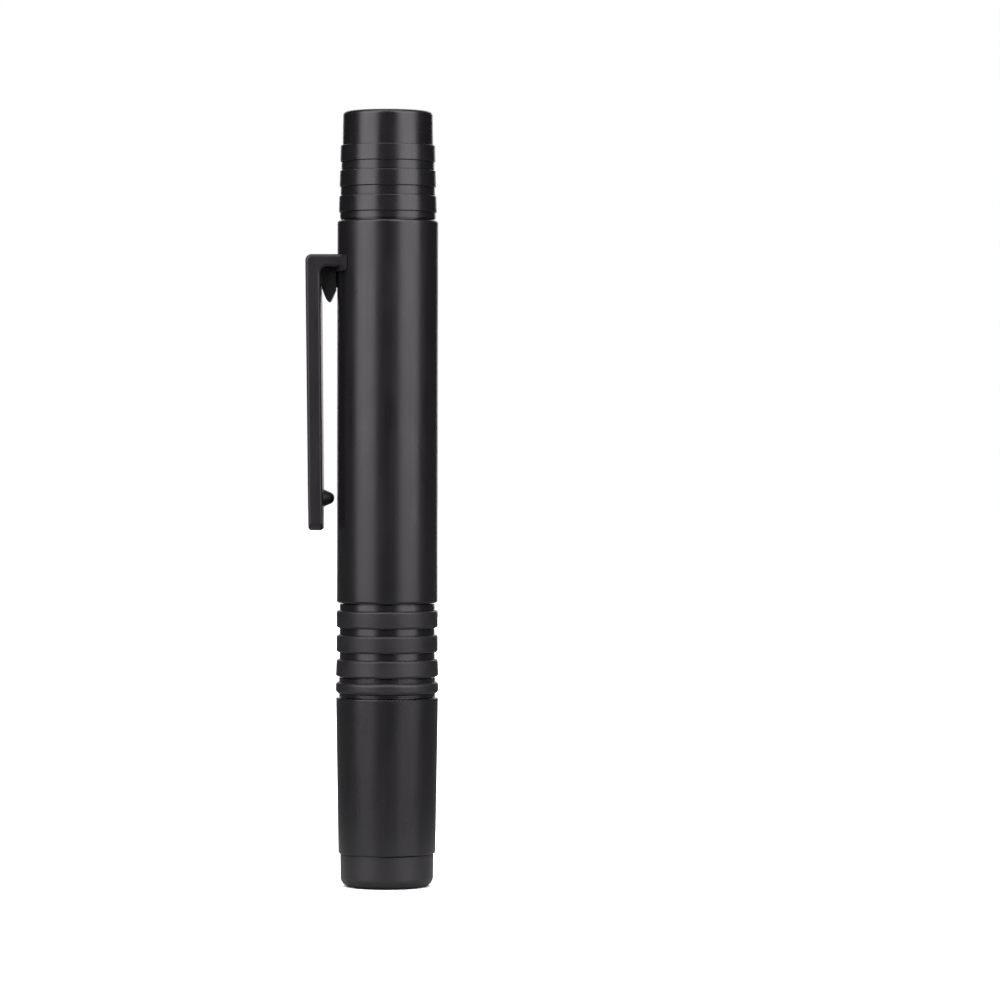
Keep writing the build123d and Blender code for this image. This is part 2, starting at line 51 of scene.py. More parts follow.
MM = 0.001


class Body(str, Enum):
    """The rigid bodies that the soft pieces and the floor ride on."""

    BARREL = "barrel"
    SLIDE = "brush_slide"
    CAP = "cap"


class Slot(str, Enum):
    """The record's material slots of the soft pieces."""

    CHAMOIS = "charged_chamois"
    FELT = "charged_felt"
    HAIR = "brush_hair"


# ------------------------------------------------------------------ small helpers


def linear(code: str) -> tuple[float, float, float, float]:
    """Turn an sRGB hex colour into linear light.

    Args:
        code: the colour as "#rrggbb".

    Returns:
        Linear red, green and blue, and full opacity.
    """
    channels = [int(code[i : i + 2], 16) / 255 for i in (1, 3, 5)]
    light = [c / 12.92 if c <= 0.04045 else ((c + 0.055) / 1.055) ** 2.4 for c in channels]
    return (*light, 1.0)


def per_mm(size: float) -> float:
    """Turn a grain size in millimetres into a pattern scale for coordinates in metres."""
    return 1 / (size * MM)


def blank_tree(name: str) -> tuple[bpy.types.Material, bpy.types.NodeTree, bpy.types.NodeSocket]:
    """Make a material with an empty node tree and object coordinates.

    Args:
        name: the material's name.

    Returns:
        The material, its tree and the object coordinates in metres.
    """
    material = bpy.data.materials.new(name)
    material.use_nodes = True
    tree = material.node_tree
    tree.nodes.clear()
    place = add_node(tree, "TexCoord").outputs["Object"]
    return material, tree, place


def add_node(
    tree: bpy.types.NodeTree,
    kind: str,
    settings: dict[str | int, object] | None = None,
    links: dict[str | int, bpy.types.NodeSocket] | None = None,
) -> bpy.types.Node:
    """Add one node, set its fields and sockets, and link its inputs.

    Args:
        tree: the node tree that takes the node.
        kind: the node's type, without the "ShaderNode" in front.
        settings: values for the node's fields, or for input sockets by name or number.
        links: the output socket that feeds each input socket, by name or number.

    Returns:
        The new node.
    """
    node = tree.nodes.new("ShaderNode" + kind)
    for key, value in (settings or {}).items():
        if isinstance(key, str) and hasattr(node, key):
            setattr(node, key, value)
        else:
            node.inputs[key].default_value = value
    for key, socket in (links or {}).items():
        tree.links.new(socket, node.inputs[key])
    return node


# ------------------------------------------------------------------ finishes


@dataclass(frozen=True)
class MouldedPlastic:
    """Black plastic from an injection mould with a lightly blasted tool.

    The eye sees a satin black: broad soft reflections, a grain just too fine to count, faint streaks
    along the pen from the draw of the tool, and slow changes of gloss where hands have rubbed it.

    Attributes:
        name: the material's name.
        base: the plastic's colour.
        flow: its colour where the melt flowed last.
        roughness: the middle of its roughness.
        rubbed: how far the handling marks move the roughness.
        drawn: how far the draw streaks move the roughness.
        grain_mm: the blasted grain. The real one, about 0.05 mm, is too fine to show and is drawn
            coarser.
        grain_strength: how much of the grain shows.
        streak_mm: the width of one draw streak.
        streak_strength: how deep the streaks look.
        streak_run: how much finer a streak is across the pen than along it, as a share.
        melt_mm: the size of one patch where the melt flowed last.
        hands_mm: the width of one patch rubbed by hands.
        hands_run: the same share for a rubbed patch.
        sink_mm: the size of one shallow sink in the wall.
        sink_strength: how much of the sinks shows.
        ior: the plastic's refractive index.
    """

    name: str
    base: str = "#121112"
    flow: str = "#171618"
    roughness: float = 0.31
    rubbed: float = 0.035
    drawn: float = 0.02
    grain_mm: float = 0.16
    grain_strength: float = 0.09
    streak_mm: float = 0.55
    streak_strength: float = 0.06
    streak_run: float = 0.025
    melt_mm: float = 9.0
    hands_mm: float = 2.4
    hands_run: float = 0.35
    sink_mm: float = 5.0
    sink_strength: float = 0.25
    ior: float = 1.54

    def material(self) -> bpy.types.Material:
        """Build the material.

        Returns:
            The material.
        """
        material, tree, place = blank_tree(self.name)
        melt = add_node(
            tree, "TexNoise", {"Scale": per_mm(self.melt_mm), "Detail": 3.0}, {"Vector": place}
        )
        colour = add_node(
            tree,
            "Mix",
            {"data_type": "RGBA", 6: linear(self.base), 7: linear(self.flow)},
            {0: melt.outputs["Fac"]},
        )
        lengthwise = add_node(
            tree, "Mapping", {"Scale": (1.0, 1.0, self.hands_run)}, {"Vector": place}
        )
        hands = add_node(
            tree,
            "TexNoise",
            {"Scale": per_mm(self.hands_mm), "Detail": 4.0},
            {"Vector": lengthwise.outputs["Vector"]},
        )
        gloss = add_node(
            tree,
            "MapRange",
            {"From Min": 0.3, "From Max": 0.7, "To Min": -self.rubbed, "To Max": self.rubbed},
            {"Value": hands.outputs["Fac"]},
        )
        drawn = add_node(
            tree, "Mapping", {"Scale": (1.0, 1.0, self.streak_run)}, {"Vector": place}
        )
        streaks = add_node(
            tree,
            "TexNoise",
            {"Scale": per_mm(self.streak_mm), "Detail": 2.0},
            {"Vector": drawn.outputs["Vector"]},
        )
        satin = add_node(
            tree,
            "MapRange",
            {
                "From Min": 0.3,
                "From Max": 0.7,
                "To Min": self.roughness - self.drawn,
                "To Max": self.roughness + self.drawn,
            },
            {"Value": streaks.outputs["Fac"]},
        )
        rough = add_node(
            tree,
            "Math",
            {"operation": "ADD"},
            {0: gloss.outputs["Result"], 1: satin.outputs["Result"]},
        )
        sink = add_node(
            tree, "TexNoise", {"Scale": per_mm(self.sink_mm), "Detail": 0.0}, {"Vector": place}
        )
        waves = add_node(
            tree,
            "Bump",
            {"Strength": self.sink_strength, "Distance": 0.02 * MM},
            {"Height": sink.outputs["Fac"]},
        )
        lines = add_node(
            tree,
            "Bump",
            {"Strength": self.streak_strength, "Distance": 0.01 * MM},
            {"Height": streaks.outputs["Fac"], "Normal": waves.outputs["Normal"]},
        )
        blast = add_node(
            tree,
            "TexNoise",
            {"Scale": per_mm(self.grain_mm), "Detail": 1.0},
            {"Vector": place},
        )
        skin = add_node(
            tree,
            "Bump",
            {"Strength": self.grain_strength, "Distance": 0.01 * MM},
            {"Height": blast.outputs["Fac"], "Normal": lines.outputs["Normal"]},
        )
        surface = add_node(
            tree,
            "BsdfPrincipled",
            {"IOR": self.ior},
            {
                "Base Color": colour.outputs[2],
                "Roughness": rough.outputs["Value"],
                "Normal": skin.outputs["Normal"],
            },
        )
        add_node(tree, "OutputMaterial", links={"Surface": surface.outputs["BSDF"]})
        return material


@dataclass(frozen=True)
class MouldedRubber:
    """Black nitrile rubber, moulded and left unpolished.

    The eye sees a charcoal that barely shines, with a dry bloom and a fine skin texture.

    Attributes:
        name: the material's name.
        base: the rubber's colour.
        bloom: its colour where the dry bloom lies.
        roughness: the middle of its roughness.
        bloom_mm: the size of one patch of bloom.
        grain_mm: the size of one bump of its skin.
        grain_strength: how much of the skin shows.
        ior: the rubber's refractive index.
    """

    name: str
    base: str = "#161517"
    bloom: str = "#1d1c1e"
    roughness: float = 0.44
    bloom_mm: float = 3.5
    grain_mm: float = 0.22
    grain_strength: float = 0.35
    ior: float = 1.52

    def material(self) -> bpy.types.Material:
        """Build the material.

        Returns:
            The material.
        """
        material, tree, place = blank_tree(self.name)
        bloom = add_node(
            tree, "TexNoise", {"Scale": per_mm(self.bloom_mm), "Detail": 5.0}, {"Vector": place}
        )
        patches = add_node(
            tree, "MapRange", {"From Min": 0.3, "From Max": 0.7}, {"Value": bloom.outputs["Fac"]}
        )
        colour = add_node(
            tree,
            "Mix",
            {"data_type": "RGBA", 6: linear(self.base), 7: linear(self.bloom)},
            {0: patches.outputs["Result"]},
        )
        rough = add_node(
            tree,
            "MapRange",
            {"To Min": self.roughness - 0.05, "To Max": self.roughness + 0.06},
            {"Value": patches.outputs["Result"]},
        )
        skin = add_node(
            tree,
            "TexNoise",
            {"Scale": per_mm(self.grain_mm), "Detail": 3.0},
            {"Vector": place},
        )
        relief = add_node(
            tree,
            "Bump",
            {"Strength": self.grain_strength, "Distance": 0.02 * MM},
            {"Height": skin.outputs["Fac"]},
        )
        surface = add_node(
            tree,
            "BsdfPrincipled",
            {"IOR": self.ior},
            {
                "Base Color": colour.outputs[2],
                "Roughness": rough.outputs["Result"],
                "Normal": relief.outputs["Normal"],
            },
        )
        add_node(tree, "OutputMaterial", links={"Surface": surface.outputs["BSDF"]})
        return material


@dataclass(frozen=True)
class DrawnAluminium:
    """Aluminium tube, drawn and cut for a ferrule.

    The eye sees a soft grey metal with fine rings that run round it.

    Attributes:
        name: the material's name.
        base: the metal's colour.
        dull: its colour where it has dulled.
        roughness: the middle of its roughness.
        dull_mm: the size of one dulled patch.
        ring_mm: the height of one drawing ring.
    """

    name: str = "drawn_aluminium"
    base: str = "#c9cacc"
    dull: str = "#a9aaad"
    roughness: float = 0.3
    dull_mm: float = 2.0
    ring_mm: float = 0.08

    def material(self) -> bpy.types.Material:
        """Build the material.

        Returns:
            The material.
        """
        material, tree, place = blank_tree(self.name)
        dulled = add_node(
            tree, "TexNoise", {"Scale": per_mm(self.dull_mm), "Detail": 3.0}, {"Vector": place}
        )
        colour = add_node(
            tree,
            "Mix",
            {"data_type": "RGBA", 6: linear(self.base), 7: linear(self.dull)},
            {0: dulled.outputs["Fac"]},
        )
        around = add_node(tree, "Mapping", {"Scale": (0.01, 0.01, 1.0)}, {"Vector": place})
        rings = add_node(
            tree,
            "TexNoise",
            {"Scale": per_mm(self.ring_mm), "Detail": 4.0},
            {"Vector": around.outputs["Vector"]},
        )
        rough = add_node(
            tree,
            "MapRange",
            {
                "From Min": 0.3,
                "From Max": 0.7,
                "To Min": self.roughness - 0.08,
                "To Max": self.roughness + 0.12,
            },
            {"Value": rings.outputs["Fac"]},
        )
        relief = add_node(
            tree, "Bump", {"Strength": 0.3, "Distance": 0.01 * MM}, {"Height": rings.outputs["Fac"]}
        )
        surface = add_node(
            tree,
            "BsdfPrincipled",
            {"Metallic": 1.0},
            {
                "Base Color": colour.outputs[2],
                "Roughness": rough.outputs["Result"],
                "Normal": relief.outputs["Normal"],
            },
        )
        add_node(tree, "OutputMaterial", links={"Surface": surface.outputs["BSDF"]})
        return material


@dataclass(frozen=True)
class CastEpoxy:
    """Amber epoxy poured round the roots of the hair.

    The eye sees a dark honey gloss with the ends of hairs showing in it.

    Attributes:
        name: the material's name.
        base: the epoxy's colour.
        hair: the colour of the hair in it.
        hair_mm: the width of one hair end, drawn coarser than the real 0.08 mm so that it shows.
        ior: the epoxy's refractive index.
    """

    name: str = "cast_epoxy"
    base: str = "#6b4a22"
    hair: str = "#2c2016"
    hair_mm: float = 0.25
    ior: float = 1.56

    def material(self) -> bpy.types.Material:
        """Build the material.

        Returns:
            The material.
        """
        material, tree, place = blank_tree(self.name)
        along = add_node(tree, "Mapping", {"Scale": (1.0, 1.0, 0.1)}, {"Vector": place})
        ends = add_node(
            tree,
            "TexNoise",
            {"Scale": per_mm(self.hair_mm), "Detail": 2.0},
            {"Vector": along.outputs["Vector"]},
        )
        share = add_node(
            tree, "MapRange", {"From Min": 0.3, "From Max": 0.7}, {"Value": ends.outputs["Fac"]}
        )
        colour = add_node(
            tree,
            "Mix",
            {"data_type": "RGBA", 6: linear(self.base), 7: linear(self.hair)},
            {0: share.outputs["Result"]},
        )
        rough = add_node(
            tree, "MapRange", {"To Min": 0.12, "To Max": 0.3}, {"Value": share.outputs["Result"]}
        )
        surface = add_node(
            tree,
            "BsdfPrincipled",
            {"IOR": self.ior},
            {"Base Color": colour.outputs[2], "Roughness": rough.outputs["Result"]},
        )
        add_node(tree, "OutputMaterial", links={"Surface": surface.outputs["BSDF"]})
        return material


@dataclass(frozen=True)
class NappedChamois:
    """Chamois leather, napped and charged with carbon powder.

    The eye sees a sooty suede: no shine, a short soft nap, and powder lying in patches.

    Attributes:
        name: the material's name.
        base: the leather's colour.
        powder: its colour where the powder lies.
        nap_mm: the width of one tuft of the nap.
        patch_mm: the size of one patch of powder.
    """

    name: str = "napped_chamois"
    base: str = "#19181a"
    powder: str = "#2b2a2c"
    nap_mm: float = 0.18
    patch_mm: float = 1.6

    def material(self) -> bpy.types.Material:
        """Build the material.

        Returns:
            The material.
        """
        material, tree, place = blank_tree(self.name)
        patches = add_node(
            tree, "TexNoise", {"Scale": per_mm(self.patch_mm), "Detail": 3.0}, {"Vector": place}
        )
        share = add_node(
            tree, "MapRange", {"From Min": 0.3, "From Max": 0.7}, {"Value": patches.outputs["Fac"]}
        )
        colour = add_node(
            tree,
            "Mix",
            {"data_type": "RGBA", 6: linear(self.base), 7: linear(self.powder)},
            {0: share.outputs["Result"]},
        )
        nap = add_node(
            tree, "TexNoise", {"Scale": per_mm(self.nap_mm), "Detail": 4.0}, {"Vector": place}
        )
        rough = add_node(
            tree, "MapRange", {"To Min": 0.85, "To Max": 1.0}, {"Value": nap.outputs["Fac"]}
        )
        relief = add_node(
            tree, "Bump", {"Strength": 0.8, "Distance": 0.08 * MM}, {"Height": nap.outputs["Fac"]}
        )
        surface = add_node(
            tree,
            "BsdfPrincipled",
            {"Sheen Weight": 0.4, "Sheen Roughness": 0.5},
            {
                "Base Color": colour.outputs[2],
                "Roughness": rough.outputs["Result"],
                "Normal": relief.outputs["Normal"],
            },
        )
        add_node(tree, "OutputMaterial", links={"Surface": surface.outputs["BSDF"]})
        return material


@dataclass(frozen=True)
class PressedFelt:
    """Wool felt, pressed and loaded with dry cleaning compound.

    The eye sees matted fibres in near-black grey, lying both ways across the disc.

    Attributes:
        name: the material's name.
        base: the felt's colour.
        fibre: the colour of its lightest fibres.
        fibre_mm: the width of one fibre, drawn coarser than the real 0.03 mm so that it shows.
    """

    name: str = "pressed_felt"
    base: str = "#141315"
    fibre: str = "#2e2d2f"
    fibre_mm: float = 0.12

    def material(self) -> bpy.types.Material:
        """Build the material.

        Returns:
            The material.
        """
        material, tree, place = blank_tree(self.name)
        layers = []
        for run in ((1.0, 0.12, 0.3), (0.12, 1.0, 0.3)):
            laid = add_node(tree, "Mapping", {"Scale": run}, {"Vector": place})
            layers.append(
                add_node(
                    tree,
                    "TexNoise",
                    {"Scale": per_mm(self.fibre_mm), "Detail": 4.0},
                    {"Vector": laid.outputs["Vector"]},
                )
            )
        mat = add_node(
            tree,
            "Math",
            {"operation": "MAXIMUM"},
            {0: layers[0].outputs["Fac"], 1: layers[1].outputs["Fac"]},
        )
        share = add_node(
            tree, "MapRange", {"From Min": 0.45, "From Max": 0.7}, {"Value": mat.outputs["Value"]}
        )
        colour = add_node(
            tree,
            "Mix",
            {"data_type": "RGBA", 6: linear(self.base), 7: linear(self.fibre)},
            {0: share.outputs["Result"]},
        )
        rough = add_node(
            tree, "MapRange", {"To Min": 0.9, "To Max": 1.0}, {"Value": mat.outputs["Value"]}
        )
        relief = add_node(
            tree, "Bump", {"Strength": 0.9, "Distance": 0.1 * MM}, {"Height": mat.outputs["Value"]}
        )
        surface = add_node(
            tree,
            "BsdfPrincipled",
            {"Sheen Weight": 0.3},
            {
                "Base Color": colour.outputs[2],
                "Roughness": rough.outputs["Result"],
                "Normal": relief.outputs["Normal"],
            },
        )
        add_node(tree, "OutputMaterial", links={"Surface": surface.outputs["BSDF"]})
        return material


@dataclass(frozen=True)
class GoatHair:
    """Soft goat hair, dyed black and combed.

    The eye sees single hairs, each its own tone of brown black; painted shade darkens each hair
    towards its root.

    Attributes:
        name: the material's name.
        dark: the colour of the darkest hair.
        light: the colour of the lightest hair.
        scale_mm: the width of one patch of raised scales on the hairs.
        shade_layer: the mesh layer that holds each hair's own tone, darkened towards its root by
            painted shade.
    """

    name: str = "goat_hair"
    dark: str = "#1b1614"
    light: str = "#4a3f38"
    scale_mm: float = 0.6
    shade_layer: str = "hair_tone_and_painted_shade"

    def material(self) -> bpy.types.Material:
        """Build the material.

        Returns:
            The material.
        """
        material, tree, place = blank_tree(self.name)
        shade = add_node(tree, "Attribute", {"attribute_name": self.shade_layer})
        colour = add_node(
            tree,
            "Mix",
            {"data_type": "RGBA", 6: linear(self.dark), 7: linear(self.light)},
            {0: shade.outputs["Fac"]},
        )
        along = add_node(tree, "Mapping", {"Scale": (1.0, 1.0, 0.2)}, {"Vector": place})
        scales = add_node(
            tree,
            "TexNoise",
            {"Scale": per_mm(self.scale_mm), "Detail": 2.0},
            {"Vector": along.outputs["Vector"]},
        )
        rough = add_node(
            tree,
            "MapRange",
            {"From Min": 0.3, "From Max": 0.7, "To Min": 0.35, "To Max": 0.55},
            {"Value": scales.outputs["Fac"]},
        )
        surface = add_node(
            tree,
            "BsdfPrincipled",
            {"Sheen Weight": 0.15},
            {"Base Color": colour.outputs[2], "Roughness": rough.outputs["Result"]},
        )
        add_node(tree, "OutputMaterial", links={"Surface": surface.outputs["BSDF"]})
        return material


@dataclass(frozen=True)
class MattPaper:
    """Seamless white paper, calendered matt.

    The eye sees plain white, and that holds only for the camera's own rays. To every other ray the
    paper shows painted light: a greyer sheet with a painted pool of light under the pen that dims to
    a painted grey away from it, because bounce from a floor this white would wash out the pen's
    foot.
    It is a device of the studio, like the room's dim light, and no piece of the pen uses it.

    Attributes:
        name: the material's name.
        sheet: the paper's colour.
        tooth: its colour in the hollows of its tooth.
        painted_light_pool: the painted pool of light that other surfaces see under the pen.
        painted_dim_beyond: the painted dimmer grey that other surfaces see away from the pen.
        tone_mm: the size of one slow change of tone.
        painted_pool_inner: the radius in metres where the painted pool of light starts to fall off.
        painted_pool_outer: the radius in metres where the painted fall-off ends.
    """

    name: str = "matt_white_paper"
    sheet: str = "#ffffff"
    tooth: str = "#fbfbfb"
    painted_light_pool: str = "#8c8c8c"
    painted_dim_beyond: str = "#404040"
    tone_mm: float = 40.0
    painted_pool_inner: float = 0.03
    painted_pool_outer: float = 0.09

    def material(self) -> bpy.types.Material:
        """Build the material.

        Returns:
            The material.
        """
        material, tree, place = blank_tree(self.name)
        tone = add_node(
            tree, "TexNoise", {"Scale": per_mm(self.tone_mm), "Detail": 2.0}, {"Vector": place}
        )
        paper = add_node(
            tree,
            "Mix",
            {"data_type": "RGBA", 6: linear(self.sheet), 7: linear(self.tooth)},
            {0: tone.outputs["Fac"]},
        )
        reach = add_node(tree, "VectorMath", {"operation": "LENGTH"}, {0: place})
        fall = add_node(
            tree,
            "MapRange",
            {"From Min": self.painted_pool_inner, "From Max": self.painted_pool_outer},
            {"Value": reach.outputs["Value"]},
        )
        # painted light: for rays other than the camera's, the paper's colour is a painted pool of
        # light under the pen that dims to a painted grey beyond it
        painted_bounce = add_node(
            tree,
            "Mix",
            {"data_type": "RGBA", 6: linear(self.painted_light_pool), 7: linear(self.painted_dim_beyond)},
            {0: fall.outputs["Result"]},
        )
        seen = add_node(tree, "LightPath")
        colour = add_node(
            tree,
            "Mix",
            {"data_type": "RGBA"},
            {0: seen.outputs["Is Camera Ray"], 6: painted_bounce.outputs[2], 7: paper.outputs[2]},
        )
        surface = add_node(
            tree,
            "BsdfPrincipled",
            {"Roughness": 0.9, "Specular IOR Level": 0.1},
            {"Base Color": colour.outputs[2]},
        )
        add_node(tree, "OutputMaterial", links={"Surface": surface.outputs["BSDF"]})
        return material


Finish = (
    MouldedPlastic
    | MouldedRubber
    | DrawnAluminium
    | CastEpoxy
    | NappedChamois
    | PressedFelt
    | GoatHair
    | MattPaper
)

SHELL_ABS = MouldedPlastic("moulded_abs_barrel")
NOSE_ABS = MouldedPlastic("moulded_abs_nose", roughness=0.28)
COLLAR_ABS = MouldedPlastic("moulded_abs_collar", roughness=0.27, grain_strength=0.08)
CAP_ABS = MouldedPlastic(
    "moulded_abs_cap", roughness=0.3, drawn=0.012, grain_strength=0.06, streak_strength=0.04
)
CLIP_ABS = MouldedPlastic(
    "moulded_abs_clip", "#151316", "#1a181b", 0.42, grain_strength=0.2, streak_strength=0.5
)
PLUG_ABS = MouldedPlastic(
    "moulded_abs_end_plug", "#121113", "#171618", 0.4, rubbed=0.05, grain_strength=0.2
)
ACETAL = MouldedPlastic("moulded_acetal", base="#131214", flow="#19181a", roughness=0.4, ior=1.48)
GRIP_RUBBER = MouldedRubber("moulded_grip_rubber")
NITRILE = MouldedRubber("moulded_nitrile", base="#18181a", bloom="#222224", roughness=0.5)


# ------------------------------------------------------------------ dressing and meshes


@cache
def made(finish: Finish) -> bpy.types.Material:
    """Build a finish's material once, however many pieces share it."""
    return finish.material()


def dress(piece: bpy.types.Object, finish: Finish) -> bpy.types.Object:
    """Give a whole piece one finish.

    Args:
        piece: the piece to dress.
        finish: its finish.

    Returns:
        The same piece.
    """
    piece.data.materials.clear()
    piece.data.materials.append(made(finish))
    for face in piece.data.polygons:
        face.material_index = 0
    return piece


def dress_nodes(finishes: dict[str, Finish]) -> list[bpy.types.Object]:
    """Dress the CAD nodes whose own shape is kept.

    Args:
        finishes: the finish of each node, by node name.

    Returns:
        The dressed nodes.
    """
    return [dress(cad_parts[node], finish) for node, finish in finishes.items()]


def new_piece(name: str, mesh: bmesh.types.BMesh) -> bpy.types.Object:
    """Turn a finished mesh into a named piece in the scene.

    Args:
        name: the piece's name.
        mesh: the mesh, which is used up.

    Returns:
        The new object.
    """
    data = bpy.data.meshes.new(name)
    mesh.to_mesh(data)
    mesh.free()
    piece = bpy.data.objects.new(name, data)
    bpy.context.scene.collection.objects.link(piece)
    return piece


def turned_mesh(outline: list[tuple[float, float]], segments: int) -> bmesh.types.BMesh:
    """Turn a profile round the pen's axis into a closed mesh.

    Args:
        outline: (radius, height) points in metres, from the axis round to the axis again.
        segments: how many steps the turn is made in.

    Returns:
        The closed mesh.
    """
    mesh = bmesh.new()
    rows: list[list[bmesh.types.BMVert]] = []
    for radius, height in outline:
        steps = segments if radius > 0 else 1
        angles = [math.tau * step / segments for step in range(steps)]
        rows.append(
            [mesh.verts.new((radius * math.cos(a), radius * math.sin(a), height)) for a in angles]
        )
    for row, above in zip(rows, rows[1:]):
        for step in range(segments):
            after = (step + 1) % segments
            ring = [
                row[step % len(row)],
                row[after % len(row)],
                above[after % len(above)],
                above[step % len(above)],
            ]
            mesh.faces.new(list(dict.fromkeys(ring)))
    bmesh.ops.recalc_face_normals(mesh, faces=mesh.faces)
    return mesh


# ------------------------------------------------------------------ sub-assemblies


@dataclass
class Handle:
    """The long shell, the ribbed nose that is pressed into its top, and the stop inside it."""

    def build(self) -> list[bpy.types.Object]:
        """Dress the handle's shells and its stop."""
        return dress_nodes({"barrel": SHELL_ABS, "brush_nose": NOSE_ABS, "sled_stop": ACETAL})


@dataclass
class GripCollar:
    """The grooved collar under the barrel, its rubber rings and the bead above the cap."""

    rings: int = 3

    def build(self) -> list[bpy.types.Object]:
        """Dress the collar, every ring and the bead.

        Returns:
            The dressed nodes.
        """
        finishes: dict[str, Finish] = {"grip_collar": COLLAR_ABS}
        for number in range(1, self.rings + 1):
            finishes[f"grip_ring_{number}"] = GRIP_RUBBER
        finishes["bead_ring"] = GRIP_RUBBER
        return dress_nodes(finishes)


@dataclass
class HairTuft:
    """The brush's hair: a dense round bundle of single soft hairs with a domed end.

    Attributes:
        hairs: how many hairs.
        root_width: a hair's width at its root, in metres. Hairs are drawn thicker than the real
            0.08 mm so that 2400 of them fill the ferrule.
        tip_width: its width at its tip.
        ferrule_wall: the clear space between the ferrule's outside and the outermost root.
        slack: the space between the CAD bundle's box and the outermost hair.
        dome: how much lower the outermost hairs end than the middle ones.
        dome_power: how late the dome falls off towards its rim.
        belly_at: how soon above the ferrule the bundle is widest; larger is sooner.
        root_painted_shade: the share of a hair's own tone left at its root by the painted shade that
            darkens it there.
        ragged: how much single hairs fall short.
        wander: how far a tip strays sideways.
        rings: the rings of points along one hair.
        sides: the sides of one hair.
        seed: the seed of every random draw.
        finish: the hair's finish.
    """

    hairs: int = 2400
    root_width: float = 0.11 * MM
    tip_width: float = 0.025 * MM
    ferrule_wall: float = 0.42 * MM
    slack: float = 0.15 * MM
    dome: float = 2.6 * MM
    dome_power: float = 2.4
    belly_at: float = 1.25
    root_painted_shade: float = 0.35
    ragged: float = 0.7 * MM
    wander: float = 0.11 * MM
    rings: int = 6
    sides: int = 3
    seed: int = 7
    finish: GoatHair = GoatHair()

    def build(self) -> bpy.types.Object:
        """Make the hairs as one piece and let it stand for the CAD bundle.

        Returns:
            The tuft.
        """
        low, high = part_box("bristles")
        ferrule_low, ferrule_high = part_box("brush_ferrule")
        root_radius = (ferrule_high.x - ferrule_low.x) / 2 - self.ferrule_wall
        belly_radius = (high.x - low.x) / 2 - self.slack
        dice = random.Random(self.seed)
        mesh = bmesh.new()
        shade = mesh.verts.layers.float.new(self.finish.shade_layer)
        golden = math.pi * (3 - math.sqrt(5))
        for index in range(self.hairs):
            share = math.sqrt((index + 0.5) / self.hairs)
            turn = index * golden
            outward = Vector((math.cos(turn), math.sin(turn), 0))
            tip = high.z - self.dome * share**self.dome_power - dice.random() ** 2 * self.ragged
            drift = Vector((dice.gauss(0, 1), dice.gauss(0, 1), 0)) * self.wander
            reach = (root_radius * share, belly_radius * share)
            heights = (low.z, ferrule_high.z, tip)
            self._hair(mesh, shade, outward, reach, heights, drift * (1 - share**4), dice.random())
        bmesh.ops.recalc_face_normals(mesh, faces=mesh.faces)
        tuft = new_piece("hair_tuft", mesh)
        tuft.data.shade_smooth()
        dress(tuft, self.finish)
        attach(tuft, Body.SLIDE.value)
        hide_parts("bristles")
        return tuft

    def _hair(
        self,
        mesh: bmesh.types.BMesh,
        shade: bmesh.types.BMLayerItem,
        outward: Vector,
        reach: tuple[float, float],
        heights: tuple[float, float, float],
        drift: Vector,
        tone: float,
    ) -> None:
        """Add one tapered hair.

        Args:
            mesh: the mesh that takes the hair.
            shade: the layer that holds each hair's own tone and its painted shade.
            outward: the direction from the pen's axis to the hair.
            reach: the hair's distance from the axis at its root and where the bundle is widest.
            heights: the heights of its root, the ferrule's rim and its tip.
            drift: how far the tip has wandered.
            tone: the hair's own shade, from 0 to 1.
        """
        base, rim, tip = heights
        root, belly = reach
        rows = []
        for ring in range(self.rings):
            height = base + (tip - base) * ring / (self.rings - 1)
            free = max(0.0, (height - rim) / (tip - rim))
            swell = math.sin(min(1.0, free * self.belly_at) * math.pi / 2)
            centre = outward * (root + (belly - root) * swell) + drift * free**2
            width = self.root_width + (self.tip_width - self.root_width) * free**1.5
            row = []
            for side in range(self.sides):
                angle = math.tau * side / self.sides
                spoke = Vector((math.cos(angle), math.sin(angle), 0)) * width / 2
                vertex = mesh.verts.new(centre + spoke + Vector((0, 0, height)))
                # painted shade: the hair's own tone is darkened below the ferrule's rim and lightens
                # towards its tip
                vertex[shade] = tone * (self.root_painted_shade + (1 - self.root_painted_shade) * free)
                row.append(vertex)
            rows.append(row)
        for row, above in zip(rows, rows[1:]):
            for side in range(self.sides):
                after = (side + 1) % self.sides
                mesh.faces.new((row[side], row[after], above[after], above[side]))
        mesh.faces.new(list(reversed(rows[0])))
        mesh.faces.new(rows[-1])


@dataclass
class BrushSlide:
    """The thumb slide: the clip-shaped arm, the key under it, the sled and the brush it carries.

    Attributes:
        tuft: the hair at its top.
    """

    tuft: HairTuft

    def build(self) -> list[bpy.types.Object]:
        """Dress the slide's rigid parts and grow its hair.

        Returns:
            The dressed nodes and the tuft.
        """
        rigid = dress_nodes(
            {
                "pocket_clip": CLIP_ABS,
                "slide_key": ACETAL,
                "brush_sled": ACETAL,
                "sled_ring": NITRILE,
                "brush_ferrule": DrawnAluminium(),
                "bristle_root": CastEpoxy(),
            }
        )
        return [*rigid, self.tuft.build()]


